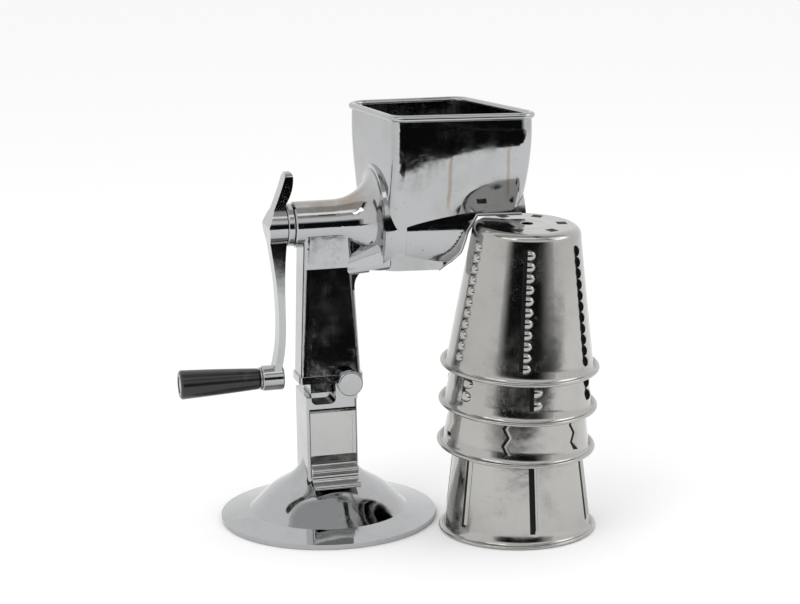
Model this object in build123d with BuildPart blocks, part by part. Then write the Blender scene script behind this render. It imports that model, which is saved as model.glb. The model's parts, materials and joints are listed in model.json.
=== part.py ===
from build123d import *
from math import cos, degrees, radians, sin, sqrt
import os

# Hand-cranked rotary shredder on a suction base, with its set of four drum cones.
# Millimetres. Origin: centre of the base on the table. +Z up, +X along the crank
# shaft from the crank towards the open mouth of the hopper, -Y the lever side.

os.makedirs("parts", exist_ok=True)

# ---------------------------------------------------------------- driving sizes
run = 0.05            # radial clearance of a turning fit
slip = 0.3            # gap between faces that slide past or rest beside each other

# pedestal: flat brim, bell and square post
brim_r = 69.5
brim_edge = 3.4
brim_crease_r = 51.0
brim_crease_z = 7.2
bell_r, bell_z = 36.0, 20.8
neck_r, neck_z = 24.5, 28.0
skirt_top_z = 42.0
shell = 2.6
post_w, post_d = 33.0, 36.0
post_corner = 2.6
post_top_z = 84.0
socket_floor_z = 78.7
chamber_w = 25.0
chamber_back_y = 14.0
chamber_top_z = 76.5
guide_low_z, guide_high_z = 38.0, 45.0
ear_left_x = 2.3
ear_t = 5.6

# suction lever in the front of the post
lever_w = 29.6
lever_t = 2.5
lever_proud = 0.6
lever_top_z = 75.4
pivot_z = 71.0
pivot_in = 4.0        # pivot behind the face of the post
pivot_r = 1.8
cam_r = 4.0           # throw of the link pin round the pivot
cam_swing = 60.0      # swing of the lever in degrees
cheek_t = 3.0
cheek_gap = 10.0
link_r = 1.5
lip_reach = 11.5      # lip in front of the post
lip_z = 26.4

# suction cup and its lifting stem
cup_r = 60.0
cup_lip = 1.7
cup_dome = 4.3
cup_centre_t = 4.4
plate_r = 15.0
plate_t = 2.4
stem_r = 4.0

# housing: leg, neck and hopper in one casting
axis_z = 193.0
leg_bottom_z = 92.0
leg_left, leg_right, leg_half_d = -18.3, 21.4, 11.0
leg_top_left, leg_top_right, leg_top_half_d = -14.4, 16.0, 13.6
leg_lip_h, leg_lip = 4.6, 1.0
tenon_left, tenon_right, tenon_half_d = -12.5, 14.5, 9.5
neck_end_x = -19.3
barrel_r = 14.6
flare_start_x = 6.0
flare_r = 33.0
wall = 2.0
rim_z = 262.0
bead_r = 2.1
rim_corners = [(28.0, 45.0), (37.0, -43.0), (125.0, -58.5), (105.0, 42.0)]
rim_corner_r = [11.0, 10.0, 9.0, 10.0]
belt_corners = [(31.6, 37.5), (33.4, -36.9), (118.5, -45.6), (101.5, 40.5)]
sill_corners = [(31.6, 30.0), (34.0, -28.0), (113.0, -42.0), (98.0, 34.0)]
hopper_left_x = 32.0
sill_z = 165.0        # level lower edge of the housing
mouth_low_x = 66.5    # where the open mouth cuts up from the sill
mouth_points = [(79.0, 177.0), (82.3, 190.0)]
overhang_x, overhang_z = 88.5, 200.4
boss_r = 12.0

# drum cones
cone_h = 90.5
cone_big_r = 46.4
cone_wall = 0.8
cone_slope = 0.15
slicer_slope = 0.12
shoulder_r = 5.5
curl_r = 1.3
rim_r = 50.0
hole_ring_r = 21.9
hole_side = 5.4
centre_hole_r = 3.7
columns = 6
hole_phase = 39.8     # first drive hole round from the first column, degrees
scallop_count, scallop_pitch, scallop_bite = 11, 6.9, 2.6
scallop_slit, scallop_cusp = 1.5, 0.4   # how far the slot runs left and right of the column line
lip_t = 0.9           # thickness of the raised lips
scallop_lip, coarse_lip, wavy_lip = 2.4, 2.5, 2.75
coarse_count, coarse_pitch = 9, 8.2
wave_count, wave_pitch, wave_swing, wave_slit = 14, 5.4, 1.5, 1.6
slice_len, slice_w = 76.0, 3.2
blade_t, blade_h = 1.0, 2.6

# shaft and drive
shaft_r = 4.0
bush_r = 7.0
bush_len = 14.0
hub_r = 25.0
hub_t = 4.0
hub_x = 38.4
lug_side = 4.6
lug_len = 3.0
drum_clear = 2.9      # teeth and air between a drum and the shroud

# crank and grip
collar_r = 13.5
collar_x0, collar_x1 = -24.0, -19.6
crank_face_x = -24.3
throw = 98.0
crank_w = 12.5
crank_hub_r = 12.0
finger = 33.5
crank_boss_r = 8.0
crank_boss_x0, crank_boss_x1 = -42.0, -28.0
shaft_left_x = -33.0
spindle_r = 2.5
grip_len = 51.0
grip_r0, grip_r1 = 6.7, 9.3
washer_t = 0.9

# lock screw
screw_x, screw_z = 11.2, 92.6
screw_r = 2.5
screw_head_r = 8.1
screw_head_t = 4.6

# stack of cones beside the machine
stack_x, stack_y = 110.6, -55.8
rise_wave, rise_coarse, rise_scallop = 55.0, 81.8, 106.8
scallop_spin, coarse_spin, wavy_spin, slicer_spin = -105.0, -94.0, -117.0, -96.0
lean_x, lean_y = 0.034, -0.059        # lean of the three upper cones, radians

front_y = -post_d / 2
shaft_axis = Axis((0, 0, axis_z), (1, 0, 0))


# ---------------------------------------------------------------- pedestal
pivot_y = front_y + pivot_in
recess_y = front_y - lever_proud + lever_t + slip
with BuildPart() as pedestal:
    with BuildSketch(Plane.XZ):
        with BuildLine():
            Line((0, 0), (brim_r, 0))
            Line((brim_r, 0), (brim_r, brim_edge))
            Line((brim_r, brim_edge), (brim_crease_r, brim_crease_z))
            Spline((brim_crease_r, brim_crease_z), (bell_r, bell_z), (neck_r, neck_z),
                   (post_w / 2, skirt_top_z), tangents=[(-1, 0.85), (-0.12, 1)])
            Line((post_w / 2, skirt_top_z), (0, skirt_top_z))
            Line((0, skirt_top_z), (0, 0))
        make_face()
    revolve(axis=Axis.Z)
    with BuildSketch(Plane.XY.offset(neck_z - 4)):
        RectangleRounded(post_w, post_d, post_corner)
    extrude(amount=post_top_z - neck_z + 4)
    # ear that carries the lock screw, rounded round the screw
    with BuildSketch(Plane.XZ.offset(-front_y - ear_t)):
        with BuildLine():
            Polyline((ear_left_x, post_top_z - 2), (ear_left_x, screw_z),
                     (screw_x - screw_head_r + 1.6, screw_z))
            ThreePointArc((screw_x - screw_head_r + 1.6, screw_z),
                          (screw_x, screw_z + screw_head_r - 1.6),
                          (screw_x + post_w / 2 - screw_x, screw_z + 3.0))
            Polyline((post_w / 2, screw_z + 3.0), (post_w / 2, post_top_z - 2),
                     (ear_left_x, post_top_z - 2))
        make_face()
    extrude(amount=ear_t)
    # hollow underside
    with BuildSketch(Plane.XZ):
        with BuildLine():
            Polyline((0, 0), (brim_r - shell, 0), (brim_r - shell, brim_edge - 1.4),
                     (brim_crease_r - 0.6, brim_crease_z - shell),
                     (bell_r - 1.2, bell_z - shell - 1.2), (neck_r - 4, neck_z - shell - 1.6),
                     (chamber_w / 2, neck_z - shell), (0, neck_z - shell), (0, 0))
        make_face()
    revolve(axis=Axis.Z, mode=Mode.SUBTRACT)
    # chamber for the lever's cam, and the guide of the stem
    chamber_front_y = recess_y + 3.5
    chamber_d = chamber_back_y - chamber_front_y
    with BuildSketch(Plane.XY.offset(guide_high_z)):
        with Locations((0, (chamber_back_y + chamber_front_y) / 2)):
            Rectangle(chamber_w, chamber_d)
    extrude(amount=chamber_top_z - guide_high_z, mode=Mode.SUBTRACT)
    with BuildSketch(Plane.XY.offset(neck_z - shell - 1)):
        Rectangle(chamber_w - 4, chamber_d)
    extrude(amount=guide_low_z - neck_z + shell + 1, mode=Mode.SUBTRACT)
    with BuildSketch(Plane.XY.offset(guide_low_z - 1)):
        Circle(stem_r + run)
    extrude(amount=guide_high_z - guide_low_z + 2, mode=Mode.SUBTRACT)
    # recess for the lever's plate and the window for its cheeks
    with BuildSketch(Plane.XZ.offset(-recess_y)):
        with Locations((0, (lever_top_z + 1.2 + neck_z - 1.2) / 2)):
            Rectangle(lever_w + 2 * slip, lever_top_z + 1.2 - neck_z + 1.2)
    extrude(amount=-recess_y, mode=Mode.SUBTRACT)
    with BuildSketch(Plane.XZ.offset(-recess_y - 5)):
        with Locations((0, (pivot_z - 9 + chamber_top_z) / 2)):
            Rectangle(cheek_gap + 2 * cheek_t + 3, chamber_top_z - pivot_z + 9)
    extrude(amount=8, mode=Mode.SUBTRACT)
    # hollow in which the plate's top edge turns
    with BuildSketch(Plane.YZ.offset(-lever_w / 2 - slip)):
        with Locations((pivot_y, pivot_z)):
            Circle(5.9)
    extrude(amount=lever_w + 2 * slip, mode=Mode.SUBTRACT)
    # bore of the pivot pin, open on the right side only
    with BuildSketch(Plane.YZ.offset(-post_w / 2 + 1.6)):
        with Locations((pivot_y, pivot_z)):
            Circle(pivot_r + 0.02)
    extrude(amount=post_w, mode=Mode.SUBTRACT)
    # socket for the tenon, and the notch in the front wall
    with BuildSketch(Plane.XY.offset(socket_floor_z)):
        with Locations(((tenon_left + tenon_right) / 2, 0)):
            RectangleRounded(tenon_right - tenon_left + 2 * slip, 2 * (tenon_half_d + slip), 1.2)
    extrude(amount=screw_z + 12 - socket_floor_z, mode=Mode.SUBTRACT)
    notch_left_x = tenon_left - 1.0
    with BuildSketch(Plane.XZ.offset(tenon_half_d - 1)):
        with Locations(((notch_left_x + ear_left_x) / 2, socket_floor_z + 0.8 + 6)):
            RectangleRounded(ear_left_x - notch_left_x, 12.0, 3.5)
        with Locations(((notch_left_x + ear_left_x) / 2, socket_floor_z + 0.8 + 14)):
            Rectangle(ear_left_x - notch_left_x, 20.0)
    extrude(amount=post_d / 2, mode=Mode.SUBTRACT)
    # open slot in the ear for the lock screw
    with BuildSketch(Plane.XZ.offset(-front_y - ear_t - 1)):
        with Locations((screw_x, screw_z)):
            Circle(screw_r + 0.2)
        with Locations((screw_x, screw_z + 6)):
            Rectangle(2 * (screw_r + 0.2), 12.0)
    extrude(amount=ear_t + 2, mode=Mode.SUBTRACT)
    fillet(pedestal.edges().filter_by(GeomType.CIRCLE).group_by(Axis.Z)[0].sort_by(SortBy.RADIUS)[-1:], 0.6)


# ---------------------------------------------------------------- suction cup, plate and stem
with BuildPart() as suction_cup:
    with BuildSketch(Plane.XZ):
        with BuildLine():
            Line((0, slip + cup_dome), (cup_r / 2, slip + cup_dome * 0.55))
            Line((cup_r / 2, slip + cup_dome * 0.55), (cup_r - 6, slip))
            Line((cup_r - 6, slip), (cup_r, slip))
            Line((cup_r, slip), (cup_r, slip + cup_lip))
            Line((cup_r, slip + cup_lip), (cup_r - 6, slip + cup_lip + 0.7))
            Spline((cup_r - 6, slip + cup_lip + 0.7), (cup_r / 2, cup_dome + 2.4),
                   (plate_r, slip + cup_dome + cup_centre_t))
            Line((plate_r, slip + cup_dome + cup_centre_t), (0, slip + cup_dome + cup_centre_t))
            Line((0, slip + cup_dome + cup_centre_t), (0, slip + cup_dome))
        make_face()
    revolve(axis=Axis.Z)

plate_z = slip + cup_dome + cup_centre_t
with BuildPart() as cup_plate:
    with BuildSketch(Plane.XY.offset(plate_z)):
        Circle(plate_r - 0.5)
    extrude(amount=plate_t)
    with BuildSketch(Plane.XY.offset(plate_z + plate_t)):
        Circle(stem_r + 3)
    extrude(amount=4.0, taper=8)
    with BuildSketch(Plane.XY.offset(plate_z + 1)):
        Circle(stem_r + 0.02)
    extrude(amount=plate_t + 4, mode=Mode.SUBTRACT)

link_y = pivot_y + cam_r * cos(radians(cam_swing / 2))
link_z = pivot_z + cam_r * sin(radians(cam_swing / 2))
cup_travel = 2 * cam_r * sin(radians(cam_swing / 2))
stem_head_t = cheek_gap - 1.6
fork_y = pivot_y + pivot_r + slip
with BuildPart() as lift_stem:
    with BuildSketch(Plane.XY.offset(plate_z + 1)):
        Circle(stem_r)
    extrude(amount=guide_high_z + 12 - plate_z - 1)
    # head that reaches forward to the link pin
    with BuildSketch(Plane.YZ.offset(-stem_head_t / 2)):
        with BuildLine():
            Polyline((stem_r, guide_high_z + 7), (-stem_r, guide_high_z + 7),
                     (fork_y, link_z - 6), (fork_y, link_z + 3.2), (link_y + 4.6, link_z + 3.2),
                     (stem_r, guide_high_z + 13), (stem_r, guide_high_z + 7))
        make_face()
    extrude(amount=stem_head_t)
    # mouth of the fork, open to the front
    with BuildSketch(Plane.YZ.offset(-stem_head_t)):
        with Locations((pivot_y + cam_r + 0.1, link_z)):
            Circle(link_r + 0.12)
        with Locations((pivot_y + cam_r + 0.1 - 3, link_z)):
            Rectangle(6, 2 * (link_r + 0.12))
    extrude(amount=2 * stem_head_t, mode=Mode.SUBTRACT)


# ---------------------------------------------------------------- suction lever and its pins
face_y = front_y - lever_proud
back_y = face_y + lever_t
with BuildPart() as suction_lever:
    with BuildSketch(Plane.YZ.offset(-lever_w / 2)):
        with BuildLine():
            Polyline((back_y, neck_z + 4.0), (back_y, lever_top_z - 0.6),
                     (back_y - 0.8, lever_top_z), (face_y + 1.3, lever_top_z),
                     (face_y, lever_top_z - 1.3), (face_y, 40.6))
            ThreePointArc((face_y, 40.6), (face_y - 1.1, 39.2), (face_y - 3.4, 38.6))
            ThreePointArc((face_y - 3.4, 38.6), (face_y - 5.6, 37.2), (face_y - 4.9, 35.2))
            ThreePointArc((face_y - 4.9, 35.2), (face_y - 4.0, 31.6), (face_y - 7.4, 28.8))
            ThreePointArc((face_y - 7.4, 28.8), (face_y - lip_reach, 27.9),
                          (face_y - lip_reach + 0.4, lip_z))
            Line((face_y - lip_reach + 0.4, lip_z), (back_y, neck_z + 4.0))
        make_face()
    extrude(amount=lever_w)
    # raised border round a plain sunk panel
    with BuildSketch(Plane.XZ.offset(-face_y - 0.5)):
        with Locations((0, (41.6 + lever_top_z - 1.8) / 2)):
            RectangleRounded(lever_w - 4.2, lever_top_z - 1.8 - 41.6, 3.0)
    extrude(amount=2, mode=Mode.SUBTRACT)
    # cheeks round the pivot, with the cam end
    for side in (-1, 1):
        inner_x = side * cheek_gap / 2
        start_x = min(inner_x, inner_x + side * cheek_t)
        with BuildSketch(Plane.YZ.offset(start_x)):
            with Locations((pivot_y, pivot_z)):
                Circle(3.6)
            with Locations((link_y, link_z)):
                Circle(2.9)
            with BuildLine():
                Polyline((back_y - 0.2, pivot_z - 3.6), (pivot_y, pivot_z - 3.6),
                         (pivot_y + 3.0, pivot_z + 2.0), (pivot_y - 1.0, pivot_z + 3.4),
                         (back_y - 0.2, pivot_z + 2.4), (back_y - 0.2, pivot_z - 3.6))
            make_face()
        extrude(amount=cheek_t)
    with BuildSketch(Plane.YZ.offset(-lever_w)):
        with Locations((pivot_y, pivot_z)):
            Circle(pivot_r + run)
    extrude(amount=2 * lever_w, mode=Mode.SUBTRACT)
    with BuildSketch(Plane.YZ.offset(-lever_w)):
        with Locations((link_y, link_z)):
            Circle(link_r + 0.02)
    extrude(amount=2 * lever_w, mode=Mode.SUBTRACT)

with BuildPart() as lever_pin:
    with BuildSketch(Plane.YZ.offset(-post_w / 2 + 1.8)):
        with Locations((pivot_y, pivot_z)):
            Circle(pivot_r)
    extrude(amount=post_w - 2.0)

with BuildPart() as link_pin:
    with BuildSketch(Plane.YZ.offset(-cheek_gap / 2 - cheek_t)):
        with Locations((link_y, link_z)):
            Circle(link_r)
    extrude(amount=cheek_gap + 2 * cheek_t)


# ---------------------------------------------------------------- housing
drum_x = hub_x + hub_t + 0.1          # closed end of a drum on the drive hub


def drum_radius(x):
    """Radius of a mounted drum's wall at a place along the shaft."""
    return cone_big_r - cone_slope * (cone_h - (x - drum_x))


def shroud_radius(x):
    return drum_radius(x) + drum_clear


waist_z = (rim_z + axis_z) / 2 - 2
waist_corners = [(0.7 * a[0] + 0.3 * b[0], 0.7 * a[1] + 0.3 * b[1])
                 for a, b in zip(rim_corners, belt_corners)]
ring_corner_r = [9.0, 9.0, 8.0, 9.0]


def outline(corners, level, radii, inset=0.0):
    """A four-sided outline with rounded corners at one level."""
    with BuildSketch(Plane.XY.offset(level)) as ring:
        with BuildLine():
            FilletPolyline(*corners, radius=radii, close=True)
        make_face()
        if inset:
            offset(amount=-inset, kind=Kind.INTERSECTION)
    return ring.sketch


outer_rings = [outline(rim_corners, rim_z, rim_corner_r), outline(waist_corners, waist_z, ring_corner_r),
               outline(belt_corners, axis_z, ring_corner_r), outline(sill_corners, sill_z - 3, ring_corner_r)]
inner_rings = [outline(rim_corners, rim_z + 0.01, rim_corner_r, wall),
               outline(waist_corners, waist_z, ring_corner_r, wall),
               outline(belt_corners, axis_z, ring_corner_r, wall),
               outline(sill_corners, sill_z - 3.01, ring_corner_r, wall)]

# shroud round the drum, cut off flush with the slanted right wall
right_run = (belt_corners[2][0] - belt_corners[3][0]) / (belt_corners[3][1] - belt_corners[2][1])
with BuildPart() as shroud:
    with BuildSketch(Plane.XZ):
        with BuildLine():
            Polyline((hopper_left_x, axis_z), (hopper_left_x, axis_z + shroud_radius(hopper_left_x) + wall),
                     (130, axis_z + shroud_radius(130) + wall), (130, axis_z), (hopper_left_x, axis_z))
        make_face()
    revolve(axis=shaft_axis)
    with BuildSketch(Plane.XY.offset(axis_z - 80)):
        with BuildLine():
            Polyline((belt_corners[2][0] + 20 * right_run, belt_corners[2][1] - 20), (200, belt_corners[2][1] - 20),
                     (200, belt_corners[3][1] + 20), (belt_corners[3][0] - 20 * right_run, belt_corners[3][1] + 20),
                     (belt_corners[2][0] + 20 * right_run, belt_corners[2][1] - 20))
        make_face()
    extrude(amount=160, mode=Mode.SUBTRACT)

with BuildPart() as housing:
    # leg
    leg_mid = (leg_left + leg_right) / 2
    leg_top_mid = (leg_top_left + leg_top_right) / 2
    with BuildSketch(Plane.XY.offset(leg_bottom_z)):
        with Locations((leg_mid, 0)):
            RectangleRounded(leg_right - leg_left, 2 * leg_half_d, 3.0)
    with BuildSketch(Plane.XY.offset(axis_z - 6)):
        with Locations((leg_top_mid, 0)):
            RectangleRounded(leg_top_right - leg_top_left, 2 * leg_top_half_d, 4.0)
    loft()
    with BuildSketch(Plane.XY.offset(leg_bottom_z - 0.4)):
        with Locations((leg_mid, 0)):
            RectangleRounded(leg_right - leg_left + 2 * leg_lip, 2 * (leg_half_d + leg_lip), 3.4)
    extrude(amount=leg_lip_h)
    # web between the leg and the hopper's sill
    with BuildSketch(Plane.XZ.offset(-leg_top_half_d + 1.2)):
        with BuildLine():
            Polyline((0, sill_z - 14), (17.4, sill_z - 14))
            ThreePointArc((17.4, sill_z - 14), (20.8, sill_z - 3.4), (31.0, sill_z))
            Polyline((31.0, sill_z), (31.0, sill_z + 16), (0, sill_z + 16), (0, sill_z - 14))
        make_face()
    extrude(amount=2 * (leg_top_half_d - 1.2))
    # gusset that widens from the leg to the lower end of the hopper
    with BuildSketch(Plane.YZ.offset(12.0)):
        with Locations((0, sill_z + 1)):
            RectangleRounded(2 * (leg_top_half_d - 1.2), 12.0, 4.0)
    with BuildSketch(Plane.YZ.offset(hopper_left_x + 4)):
        with Locations((0, sill_z + 11)):
            RectangleRounded(62.0, 22.0, 7.0)
    loft()
    # neck with its trumpet flare
    with BuildSketch(Plane.XZ):
        with BuildLine():
            Polyline((hopper_left_x + 1, axis_z), (neck_end_x, axis_z),
                     (neck_end_x, axis_z + barrel_r - 0.8),
                     (neck_end_x + 0.8, axis_z + barrel_r), (flare_start_x, axis_z + barrel_r))
            Spline((flare_start_x, axis_z + barrel_r),
                   (hopper_left_x - 7.0, axis_z + barrel_r + 6.6),
                   (hopper_left_x - 0.6, axis_z + flare_r), tangents=[(1, 0), (0.12, 1)])
            Polyline((hopper_left_x - 0.6, axis_z + flare_r), (hopper_left_x + 1, axis_z + flare_r),
                     (hopper_left_x + 1, axis_z))
        make_face()
    revolve(axis=shaft_axis)
    # hopper: walls lofted from the rim to the level of the shaft
    loft(sections=outer_rings)
    add(shroud.part)
    # level sill: everything of the hopper below it is open
    with BuildSketch(Plane.XZ.offset(-70)):
        with BuildLine():
            Polyline((31.0, sill_z), (200, sill_z), (200, 120), (31.0, 120), (31.0, sill_z))
        make_face()
    extrude(amount=140, mode=Mode.SUBTRACT)
    with BuildSketch(Plane.XZ.offset(-70)):
        with BuildLine():
            Polyline((leg_top_right + 9, sill_z), (60, sill_z), (60, 120), (leg_top_right + 9, 120),
                     (leg_top_right + 9, sill_z))
        make_face()
    extrude(amount=140, mode=Mode.SUBTRACT)
    # drum space: an open cone on the shaft's line
    with BuildSketch(Plane.XZ):
        with BuildLine():
            Polyline((hopper_left_x + wall + 1, axis_z),
                     (hopper_left_x + wall + 1, axis_z + shroud_radius(hopper_left_x + wall + 1)),
                     (150, axis_z + shroud_radius(150)), (150, axis_z), (hopper_left_x + wall + 1, axis_z))
        make_face()
    revolve(axis=shaft_axis, mode=Mode.SUBTRACT)
    # inside of the hopper
    loft(sections=inner_rings, mode=Mode.SUBTRACT)
    # mouth: slanted end of the shroud and the overhanging lower edge
    with BuildSketch(Plane.XZ.offset(-75)):
        with BuildLine():
            FilletPolyline((mouth_low_x - 8, sill_z - 10), (mouth_low_x, sill_z), *mouth_points,
                           (overhang_x, overhang_z), (160, overhang_z), radius=4)
            Polyline((160, overhang_z), (160, sill_z - 10), (mouth_low_x - 8, sill_z - 10))
        make_face()
    extrude(amount=150, mode=Mode.SUBTRACT)
    # boss round the drum-end bush
    with BuildSketch(Plane.YZ.offset(hopper_left_x - 1)):
        with Locations((0, axis_z)):
            Circle(boss_r)
    extrude(amount=hub_x - slip - hopper_left_x + 1)
    # tenon
    with BuildSketch(Plane.XY.offset(socket_floor_z + slip)):
        with Locations(((tenon_left + tenon_right) / 2, 0)):
            RectangleRounded(tenon_right - tenon_left, 2 * tenon_half_d, 1.0)
    extrude(amount=leg_bottom_z + 1 - socket_floor_z - slip)
    # rolled bead round the rim
    with BuildLine(Plane.XY.offset(rim_z)) as rim_path:
        FilletPolyline(*rim_corners, radius=rim_corner_r, close=True)
    with BuildSketch(Plane(origin=rim_path.line @ 0, z_dir=rim_path.line % 0)):
        Circle(bead_r)
    sweep(path=rim_path.line)
    # bores: bushes at both ends of the neck, and the lock screw's thread
    with BuildSketch(Plane.YZ.offset(neck_end_x - 1)):
        with Locations((0, axis_z)):
            Circle(shaft_r + 1.5)
    extrude(amount=hub_x - neck_end_x + 2, mode=Mode.SUBTRACT)
    for start in (neck_end_x - 1, hub_x - slip - bush_len):
        with BuildSketch(Plane.YZ.offset(start)):
            with Locations((0, axis_z)):
                Circle(bush_r + 0.02)
        extrude(amount=bush_len + 1, mode=Mode.SUBTRACT)
    with BuildSketch(Plane.XZ.offset(leg_half_d + leg_lip + 1)):
        with Locations((screw_x, screw_z)):
            Circle(screw_r + run)
    extrude(amount=-16, mode=Mode.SUBTRACT)


# ---------------------------------------------------------------- lock screw
head_y = front_y - slip
with BuildPart() as lock_screw:
    with BuildSketch(Plane.XZ.offset(-head_y)):
        with Locations((screw_x, screw_z)):
            Circle(screw_head_r)
    extrude(amount=screw_head_t)
    fillet(lock_screw.faces().sort_by(Axis.Y)[0].edges(), 1.1)
    with BuildSketch(Plane.XZ.offset(-head_y)):
        with Locations((screw_x, screw_z)):
            Circle(screw_r)
    extrude(amount=-(leg_half_d + leg_lip + 1 - 15.0 + 16.5))


# ---------------------------------------------------------------- bushes, shaft and drive hub
def bush(start, name):
    """Plain bearing bush on the shaft."""
    with BuildPart() as part:
        with BuildSketch(Plane.YZ.offset(start)):
            with Locations((0, axis_z)):
                Circle(bush_r)
                Circle(shaft_r + run, mode=Mode.SUBTRACT)
        extrude(amount=bush_len)
        chamfer(part.edges().filter_by(GeomType.CIRCLE).sort_by(SortBy.RADIUS)[-2:], 0.4)
    part.part.label = name
    return part


crank_bush = bush(neck_end_x, "crank_bush")
drum_bush = bush(hub_x - slip - bush_len, "drum_bush")

with BuildPart() as drive_shaft:
    with BuildSketch(Plane.YZ.offset(shaft_left_x)):
        with Locations((0, axis_z)):
            Circle(shaft_r)
    extrude(amount=hub_x + hub_t - 0.3 - shaft_left_x)
    with BuildSketch(Plane.YZ.offset(hub_x + hub_t - 12)):
        with Locations((0, axis_z)):
            Circle(2.02)
    extrude(amount=14, mode=Mode.SUBTRACT)
    # flat under the crank's grub screw
    with BuildSketch(Plane.YZ.offset(shaft_left_x - 1)):
        with Locations((shaft_r, axis_z)):
            Rectangle(1.4, 2 * shaft_r)
    extrude(amount=8, mode=Mode.SUBTRACT)

with BuildPart() as drive_hub:
    with BuildSketch(Plane.YZ.offset(hub_x)):
        with Locations((0, axis_z)):
            Circle(hub_r)
    extrude(amount=hub_t)
    fillet(drive_hub.edges().filter_by(GeomType.CIRCLE), 0.8)
    with BuildSketch(Plane.YZ.offset(hub_x + hub_t - 0.2)):
        with Locations((0, axis_z)):
            with PolarLocations(hole_ring_r, 3):
                Rectangle(lug_side, lug_side)
    extrude(amount=lug_len + 0.2)
    with BuildSketch(Plane.YZ.offset(hub_x - 1)):
        with Locations((0, axis_z)):
            Circle(shaft_r + 0.02)
    extrude(amount=hub_t + 2, mode=Mode.SUBTRACT)

with BuildPart() as hub_screw:
    with BuildSketch(Plane.YZ.offset(hub_x + hub_t)):
        with Locations((0, axis_z)):
            Circle(shaft_r + 1.6)
    extrude(amount=0.9)
    with BuildSketch(Plane.YZ.offset(hub_x + hub_t + 0.9)):
        with Locations((0, axis_z)):
            Circle(centre_hole_r - 0.3)
    extrude(amount=2.4)
    with BuildSketch(Plane.YZ.offset(hub_x + hub_t - 10)):
        with Locations((0, axis_z)):
            Circle(2.0)
    extrude(amount=10.5)
    with BuildSketch(Plane.YZ.offset(hub_x + hub_t + 2.4)):
        with Locations((0, axis_z)):
            Rectangle(1.0, 2 * centre_hole_r)
    extrude(amount=2, mode=Mode.SUBTRACT)


# ---------------------------------------------------------------- crank
with BuildPart() as crank_collar:
    with BuildSketch(Plane.YZ.offset(collar_x0)):
        with Locations((0, axis_z)):
            Circle(collar_r)
    extrude(amount=collar_x1 - collar_x0)
    fillet(crank_collar.edges().filter_by(GeomType.CIRCLE), 1.0)
    with BuildSketch(Plane.YZ.offset(collar_x0 - 1)):
        with Locations((0, axis_z)):
            Circle(shaft_r + 0.02)
    extrude(amount=collar_x1 - collar_x0 + 2, mode=Mode.SUBTRACT)

grip_z = axis_z - throw
with BuildPart() as crank_arm:
    # side view of the arm: a ridge at the hub, a finger above, a thin arm below
    with BuildSketch(Plane.XZ.offset(-crank_hub_r)):
        with BuildLine():
            Spline((-23.7, axis_z + finger), (-27.6, axis_z + 21.5), (-32.6, axis_z + 9.0),
                   (-36.2, axis_z + 0.5))
            Spline((-36.2, axis_z + 0.5), (-34.4, axis_z - 14), (-31.8, axis_z - 34),
                   (-30.8, axis_z - 50), (-31.4, axis_z - 76), (-34.5, grip_z + 6))
            Polyline((-34.5, grip_z + 6), (-34.5, grip_z), (-29.5, grip_z), (-29.5, grip_z + 7))
            Spline((-29.5, grip_z + 7), (-26.9, axis_z - 76), (-26.2, axis_z - 47),
                   (-25.4, axis_z - 22), (crank_face_x, axis_z - 11))
            Line((crank_face_x, axis_z - 11), (crank_face_x, axis_z + 14))
            Spline((crank_face_x, axis_z + 14), (-20.8, axis_z + 21), (-19.2, axis_z + finger - 2))
            ThreePointArc((-19.2, axis_z + finger - 2), (-20.8, axis_z + finger + 0.6),
                          (-23.7, axis_z + finger))
        make_face()
    extrude(amount=2 * crank_hub_r)
    # front view of the arm
    with BuildSketch(Plane.YZ.offset(-60)):
        with Locations((0, axis_z)):
            Circle(crank_hub_r)
        with Locations((0, axis_z + finger / 2)):
            Rectangle(crank_w, finger - crank_w + 8)
        with Locations((0, axis_z + finger - crank_w / 2 + 0.6)):
            Circle(crank_w / 2)
        with Locations((0, axis_z - throw / 2)):
            Rectangle(crank_w, throw)
        with Locations((0, grip_z)):
            Circle(crank_boss_r)
    extrude(amount=60, mode=Mode.INTERSECT)
    with BuildSketch(Plane.XZ):
        with BuildLine():
            FilletPolyline((crank_boss_x0, grip_z), (crank_boss_x0, grip_z + crank_boss_r + 0.1),
                           (crank_boss_x1, grip_z + crank_boss_r + 0.1), (crank_boss_x1, grip_z),
                           radius=1.2)
            Line((crank_boss_x1, grip_z), (crank_boss_x0, grip_z))
        make_face()
    revolve(axis=Axis((0, 0, grip_z), (1, 0, 0)))
    # blind bore for the shaft, thread of the grub screw, hole of the spindle
    with BuildSketch(Plane.YZ.offset(shaft_left_x - slip)):
        with Locations((0, axis_z)):
            Circle(shaft_r + 0.02)
    extrude(amount=20, mode=Mode.SUBTRACT)
    with BuildSketch(Plane.XZ.offset(-crank_hub_r - 1)):
        with Locations((crank_face_x - 4.6, axis_z)):
            Circle(1.52)
    extrude(amount=crank_hub_r + 1, mode=Mode.SUBTRACT)
    with BuildSketch(Plane.YZ.offset(crank_boss_x0 - 1)):
        with Locations((0, grip_z)):
            Circle(spindle_r + 0.02)
    extrude(amount=11, mode=Mode.SUBTRACT)

with BuildPart() as crank_grub_screw:
    with BuildSketch(Plane.XZ.offset(-crank_hub_r + 1.2)):
        with Locations((crank_face_x - 4.6, axis_z)):
            Circle(1.5)
    extrude(amount=crank_hub_r - 1.2 - shaft_r + 0.6)

grip_end_x = crank_boss_x0 - washer_t - 2 * slip - grip_len
with BuildPart() as grip_spindle:
    with BuildSketch(Plane.YZ.offset(grip_end_x + 0.4)):
        with Locations((0, grip_z)):
            Circle(spindle_r)
    extrude(amount=crank_boss_x0 + 9.5 - grip_end_x - 0.4)
    with BuildSketch(Plane.YZ.offset(grip_end_x + 0.4)):
        with Locations((0, grip_z)):
            Circle(spindle_r + 2.2)
    extrude(amount=1.8)

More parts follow.
